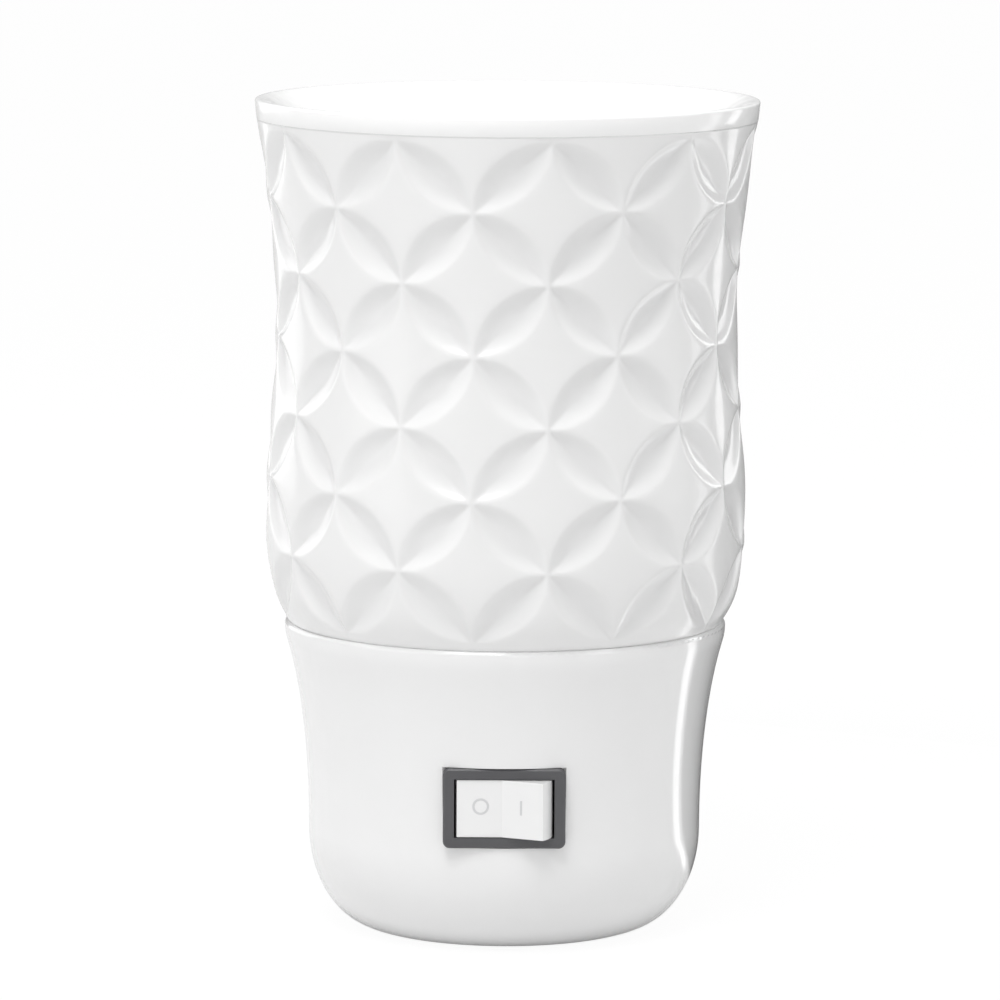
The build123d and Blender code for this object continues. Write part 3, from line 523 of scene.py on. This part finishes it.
# Screws: pan heads with a cross recess and a rolled thread below
def screw_parts(seat, axis, head_radius, head_height, shank_radius, length, grid=33):
    """Points and faces of one screw; the seat is under its head and the axis points out of the head."""
    up = Vector(axis)
    side = up.orthogonal().normalized()
    other = up.cross(side)
    slot, reach, deep, soft = 0.16 * head_radius, 0.62 * head_radius, 0.75 * head_height, 0.14 * head_radius
    edge_share, crown_power = 0.45, 2.6
    pitch, thread_depth, tip, tip_radius = 0.9 * mm, 0.28 * shank_radius, 0.4 * mm, 0.35 * shank_radius
    points, faces = [], []
    span = np.linspace(-1, 1, grid)
    for v in span:
        for u in span:
            x, y = u * math.sqrt(1 - v * v / 2) * head_radius, v * math.sqrt(1 - u * u / 2) * head_radius
            out = math.hypot(x, y) / head_radius
            z = head_height * (edge_share + (1 - edge_share) * math.sqrt(max(0.0, 1 - out**crown_power)))
            arm = min(max(abs(x) - slot, abs(y) - reach), max(abs(y) - slot, abs(x) - reach))
            z -= deep * min(1.0, max(0.0, 0.5 - arm / soft)) * (1 - 0.5 * out)
            points.append(side * x + other * y + up * z)
    for i in range(grid - 1):
        for j in range(grid - 1):
            a = i * grid + j
            faces.append((a, a + 1, a + grid + 1, a + grid))
    edge = [*range(grid), *range(2 * grid - 1, grid * grid, grid),
            *range(grid * grid - 2, grid * (grid - 1) - 1, -1), *range(grid * (grid - 2), 0, -grid)]
    count = int(length / pitch * 6)
    rows = [(None, 0.0), (shank_radius, 0.0)]
    rows += [(shank_radius, -length * (i + 1) / count) for i in range(count)]
    rows += [(tip_radius, -length - tip)]
    ring = edge
    for radius, z in rows:
        start = len(points)
        for index in edge:
            flat = points[index] - up * points[index].dot(up)
            turn = math.atan2(flat.dot(other), flat.dot(side))
            if radius is not None:
                wave = 0.5 + 0.5 * math.cos(2 * np.pi * (z / pitch - turn / (2 * np.pi)))
                cut = thread_depth * wave if -length < z < 0 else 0
                flat = flat.normalized() * (radius - cut)
            points.append(flat + up * z)
        new = list(range(start, start + len(edge)))
        for i in range(len(edge)):
            k = (i + 1) % len(edge)
            faces.append((ring[k], ring[i], new[i], new[k]))
        ring = new
    faces.append(tuple(ring[::-1]))
    return [Vector(seat) + p for p in points], faces


def all_screws():
    """The deck's four screws round the lamp axis, and the contact carrier's three round the plug's axis."""
    head, head_height, shank, length, circle = 2.3 * mm, 1.5 * mm, 1.2 * mm, 8.6 * mm, 29.8 * mm
    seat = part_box("deck_screws")[1].z - head_height
    deck = [screw_parts(lamp_axis + Vector((circle * math.sin(a), -circle * math.cos(a), seat)), (0, 0, 1),
                        head, head_height, shank, length)
            for a in map(math.radians, (-38, 38, 115, -115))]
    head, head_height, shank, length, circle = 1.9 * mm, 1.3 * mm, 0.9 * mm, 6.6 * mm, 19.4 * mm
    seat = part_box("carrier_screws")[0].y + head_height
    carrier = [screw_parts((circle * math.cos(a), seat, circle * math.sin(a)), (0, -1, 0),
                           head, head_height, shank, length)
               for a in map(math.radians, (90, 210, 330))]
    return joined("deck_screws_cut", deck), joined("carrier_screws_cut", carrier)


def rocker_marks():
    """Plain I and O, one on each half of the rocker's face."""
    hinge = next(j for j in frame["record"]["behaviour"]["joints"] if j["name"] == "switch_rock")
    pivot, swing, rise = Vector(hinge["pos_m"]), math.radians(12), 2.0 * mm
    out, up, thick, line, tall, top_share = 3.6 * mm, 0.4 * mm, 0.05 * mm, 0.2 * mm, 1.25 * mm, 0.8
    right = Vector((math.cos(swing), -math.sin(swing), 0))
    front = Vector((-math.sin(swing), -math.cos(swing), 0))
    marks = []
    for way in (-1, 1):
        along = right * (way * math.cos(swing)) + front * math.sin(swing)
        normal = front * math.cos(swing) - right * (way * math.sin(swing))
        across = along * way
        place = pivot + front * (rise / math.cos(swing)) + along * out + Vector((0, 0, up))
        if way < 0:
            turns = np.linspace(0, 2 * np.pi, 49)
            path = [place + across * (tall * math.cos(a)) + Vector((0, 0, tall * math.sin(a))) for a in turns]
        else:
            path = [place + Vector((0, 0, tall * s)) for s in np.linspace(-1, 1, 9)]
        points, faces = [], []
        for i, point in enumerate(path):
            run = (path[min(i + 1, len(path) - 1)] - path[max(i - 1, 0)]).normalized()
            side = run.cross(normal).normalized() * line
            lift = normal * thick
            points += [point - side, point - side * top_share + lift,
                       point + side * top_share + lift, point + side]
        for i in range(len(path) - 1):
            for j in range(3):
                a = 4 * i + j
                faces.append((a, a + 1, a + 5, a + 4))
        faces += [(3, 2, 1, 0), tuple(range(len(points) - 4, len(points)))]
        marks.append((points, faces))
    return joined("rocker_marks", marks, smooth=False)


# Materials of the nodes
# The shade and the dish wear one white glaze. The dish's copy is paler as painted light: it lightens the lip
# and the shadowed inside of the dish, and the shade's copy is the greyer one.
white_glaze = glaze("white_glaze", 0.83)
lit_dish_glaze = glaze("lit_dish_glaze", 0.96)
white_shell = moulded("white_shell", white(0.83), white(0.855), 0.12, Coat_Weight=1.0, Coat_Roughness=0.03)
white_inner = moulded("white_inner", (0.8, 0.8, 0.78), (0.84, 0.84, 0.82), 0.5)
dark_bezel = moulded("dark_bezel", (0.07, 0.07, 0.075), (0.095, 0.095, 0.1), 0.38)
white_rocker = moulded("white_rocker", white(0.83), white(0.86), 0.22)
brass = rolled("brass", (0.62, 0.46, 0.2), (0.76, 0.6, 0.3), 0.28)
nickel = rolled("nickel_plate", (0.6, 0.58, 0.54), (0.74, 0.72, 0.68), 0.22)
screw_steel = rolled("screw_steel", (0.5, 0.5, 0.52), (0.66, 0.66, 0.68), 0.3)
lamp_shell = rolled("lamp_shell", (0.68, 0.67, 0.64), (0.8, 0.79, 0.76), 0.25, (1, 1, 10))
black_glass = moulded("lamp_insulator", (0.03, 0.03, 0.035), (0.06, 0.06, 0.065), 0.15)
solder = rolled("solder", (0.52, 0.52, 0.5), (0.68, 0.68, 0.66), 0.35, (1, 1, 1))
tungsten = rolled("tungsten", (0.28, 0.28, 0.29), (0.4, 0.4, 0.41), 0.4, (1, 1, 1))
black_wire = moulded("wire_black", white(0.02), white(0.035), 0.4)
white_wire = moulded("wire_white", (0.78, 0.78, 0.76), (0.83, 0.83, 0.81), 0.4)
glass = Shader("clear_glass", Base_Color=(1, 1, 1, 1), Roughness=0.02, IOR=1.47, Transmission_Weight=1.0)
glass.bump((glass.noise(6 * mm, 1), 0.02 * mm))
clear_glass = glass.material

finishes = {
    white_glaze: ("shade",),
    lit_dish_glaze: ("melt_dish",),
    white_shell: ("base_bowl", "plug_rotor"),
    white_inner: ("lamp_deck", "lampholder_body", "contact_carrier", "wire_receptacles"),
    dark_bezel: ("switch_housing",),
    white_rocker: ("switch_rocker",),
    brass: ("screw_shell", "centre_contact", "switch_lever", "common_terminal", "load_terminal",
            "line_strip", "neutral_strip"),
    nickel: ("line_blade", "neutral_blade"),
    screw_steel: ("deck_screws", "carrier_screws"),
    lamp_shell: ("bulb_cap",),
    black_glass: ("bulb_insulator",),
    solder: ("bulb_tip",),
    tungsten: ("bulb_filament",),
    clear_glass: ("bulb_glass", "bulb_stem"),
    black_wire: ("line_wire", "switched_wire"),
    white_wire: ("neutral_wire",),
}
for finish, names in finishes.items():
    for name in names:
        nodes[name].data.materials.clear()
        nodes[name].data.materials.append(finish)

grey_print = moulded("mark_grey", (0.6, 0.6, 0.61), (0.66, 0.66, 0.67), 0.4)
pieces = (
    (glazed_shade(), white_glaze, "shade", "shade", "white_glaze"),
    (glazed_dish(), lit_dish_glaze, "dish", "melt_dish", "white_glaze"),
    (lamp_cap(), lamp_shell, "lamp", "bulb_cap", "lamp_cap"),
    (lamp_globe(), clear_glass, "lamp", "bulb_glass", "lamp_glass"),
    (lamp_stem(), clear_glass, "lamp", "bulb_stem", "lamp_glass"),
    (lamp_filament(), tungsten, "lamp", "bulb_filament", "tungsten"),
    (lamp_solder(), solder, "lamp", "bulb_tip", "solder"),
    (shell_thread(), brass, "base", None, "brass"),
    (rocker_marks(), grey_print, "rocker", None, "white_rocker"),
)
screws = zip(all_screws(), ("deck_screws", "carrier_screws"))
pieces += tuple((piece, screw_steel, "base", node, "screw_steel") for piece, node in screws)
for piece, material, body, node, slot in pieces:
    dress(piece, material, body, node)

# Soft edges on the moulded and stamped nodes that stay as the CAD has them
edge_rounds = {
    0.3 * mm: ("switch_rocker",),
    0.2 * mm: ("switch_housing", "lampholder_body", "plug_rotor", "contact_carrier", "wire_receptacles"),
    0.12 * mm: ("common_terminal", "load_terminal", "line_blade", "neutral_blade", "centre_contact"),
}
for width, names in edge_rounds.items():
    for name in names:
        soften = nodes[name].modifiers.new("soft_edges", "BEVEL")
        soften.width = width
        soften.segments = 3
        soften.limit_method = "ANGLE"
        soften.angle_limit = math.radians(40)


# Camera, stage and lights
def aim(thing, place, target, roll=0.0):
    """Puts a camera or light at a place, looking at a target and turned about its line of sight."""
    away = (place - target).normalized()
    thing.location = place
    thing.rotation_mode = "QUATERNION"
    thing.rotation_quaternion = Quaternion(away, roll) @ (-away).to_track_quat("-Z", "Y")


camera_data = bpy.data.cameras.new("camera")
camera_data.sensor_width = 36
camera_data.lens = pixels_per_metre * camera_distance * camera_data.sensor_width / picture_pixels
camera = bpy.data.objects.new("camera", camera_data)
bpy.context.scene.collection.objects.link(camera)
back = Vector((0, -math.cos(camera_elevation), math.sin(camera_elevation)))
aim(camera, camera_aim + back * camera_distance, camera_aim, camera_roll)
bpy.context.scene.camera = camera

bpy.context.scene.view_settings.view_transform = "Standard"
world = bpy.data.worlds.new("studio")
bpy.context.scene.world = world
world.use_nodes = True
tree = world.node_tree
backdrop_level, sky_low, sky_high = 0.985, 0.43, 0.86
backdrop = tree.nodes["Background"]
backdrop.inputs["Color"].default_value = (1, 1, 1, 1)
backdrop.inputs["Strength"].default_value = backdrop_level
fill = tree.nodes.new("ShaderNodeBackground")
fill.inputs["Color"].default_value = (1, 1, 1, 1)
sky = tree.nodes.new("ShaderNodeSeparateXYZ")
tree.links.new(tree.nodes.new("ShaderNodeTexCoord").outputs["Generated"], sky.inputs[0])
tree.links.new(ramp(tree, sky.outputs["Z"], 0.0, 1.0, sky_low, sky_high), fill.inputs["Strength"])
split_by_camera(tree, fill.outputs[0], backdrop.outputs[0], tree.nodes["World Output"])

centre_height = 75 * mm
centre = Vector((0, lamp_axis.y, foot_height + centre_height))


def towards(azimuth, elevation=0.0):
    """A direction from the warmer; azimuth 0 is to its front, and 90 degrees to its +X side."""
    a, e = math.radians(azimuth), math.radians(elevation)
    return Vector((math.sin(a) * math.cos(e), -math.cos(a) * math.cos(e), math.sin(e)))


def area_light(name, azimuth, elevation, distance, width, height, power):
    """A rectangular lamp out of the camera's sight that faces the warmer's middle."""
    data = bpy.data.lights.new(name, "AREA")
    data.shape = "RECTANGLE"
    data.size, data.size_y = width, height
    data.energy = power
    lamp = bpy.data.objects.new(name, data)
    bpy.context.scene.collection.objects.link(lamp)
    lamp.visible_camera = False
    aim(lamp, centre + towards(azimuth, elevation) * distance, centre)


def flag(name, azimuth, distance, width, height, shade):
    """An upright board out of the camera's sight that the glaze mirrors."""
    place = centre + towards(azimuth) * distance
    side = (place - centre).cross(Vector((0, 0, 1))).normalized() * width / 2
    rise = Vector((0, 0, height / 2))
    corners = [place + side - rise, place - side - rise, place - side + rise, place + side + rise]
    board = linked(name, corners, [(0, 1, 2, 3)], smooth=False)
    paint = Shader(name, Roughness=1.0, Base_Color=(*white(shade), 1))
    board.data.materials.append(paint.material)
    board.visible_camera = False
    board.visible_shadow = False


floor_reach, floor_drop = 8.0, 0.02 * mm
table_glow, strip_glow, paper_white, paper_glow = 0.2, 2.2, 0.06, 0.945
floor_corners = [(x * floor_reach, y * floor_reach, foot_height - floor_drop)
                 for x, y in ((-1, -1), (1, -1), (1, 1), (-1, 1))]
floor = linked("floor", floor_corners, [(0, 1, 2, 3)])
pale = Shader("floor", Roughness=0.9)
links = pale.tree.links


def floor_side(azimuth, near, far):
    """Runs from 0 to 1 over the floor, from near to far metres out of the lamp axis towards an azimuth."""
    out = lamp_axis.dot(towards(azimuth))
    along = pale.tree.nodes.new("ShaderNodeVectorMath")
    along.operation = "DOT_PRODUCT"
    along.inputs[1].default_value = towards(azimuth)
    links.new(pale.place, along.inputs[0])
    return ramp(pale.tree, along.outputs["Value"], out + near, out + far)


def product(first, *others):
    """The floor's node values multiplied with one another."""
    for other in others:
        made = pale.tree.nodes.new("ShaderNodeMath")
        made.operation = "MULTIPLY"
        links.new(first, made.inputs[0])
        links.new(other, made.inputs[1])
        first = made.outputs[0]
    return first


# Mirrored and scattered light meets a pale table that glows a little. Behind the warmer on its right
# it meets a dark cloth with a bright strip beside it, which the glossy bowl mirrors at its edge.
cloth = product(floor_side(204, 0, 3 * mm), floor_side(150, 40 * mm, 50 * mm), floor_side(95, 0, 20 * mm))
strip = product(floor_side(194, 0, 3 * mm), floor_side(22, 0, 3 * mm), floor_side(108, 50 * mm, 60 * mm))
table = pale.blend(cloth, pale.blend(pale.noise(0.3, 2), white(0.65), white(0.67)), white(0.1))
pale.colour(table)
links.new(table, pale.surface.inputs["Emission Color"])
links.new(ramp(pale.tree, strip, 0.0, 1.0, table_glow, strip_glow),
          pale.surface.inputs["Emission Strength"])

# The camera itself sees near-white paper that hardly takes a shadow
paper = pale.tree.nodes.new("ShaderNodeBsdfDiffuse")
paper.inputs["Color"].default_value = (*white(paper_white), 1)
glow = pale.tree.nodes.new("ShaderNodeEmission")
glow.inputs["Strength"].default_value = paper_glow
seen_floor = pale.tree.nodes.new("ShaderNodeAddShader")
links.new(paper.outputs[0], seen_floor.inputs[0])
links.new(glow.outputs[0], seen_floor.inputs[1])
split_by_camera(pale.tree, pale.surface.outputs[0], seen_floor.outputs[0],
                pale.tree.nodes["Material Output"])
floor.data.materials.append(pale.material)

# Azimuth and elevation in degrees, distance, width and height in metres, power in watts
area_light("key", -20, 60, 1.0, 0.4, 0.4, 4.75)
area_light("left_panel", -62, 8, 0.9, 0.5, 0.9, 0.9)
area_light("back_left_panel", -135, 5, 0.8, 0.5, 0.9, 1.4)
area_light("right_strip", 118, 10, 0.2, 0.032, 0.08, 0.018)
flag("right_flag", 153, 0.2, 0.19, 0.148, 0.3)
area_light("right_panel", 80, 12, 0.9, 0.5, 0.9, 0.55)
area_light("top_fill", 60, 84, 1.0, 0.5, 0.5, 1.0)
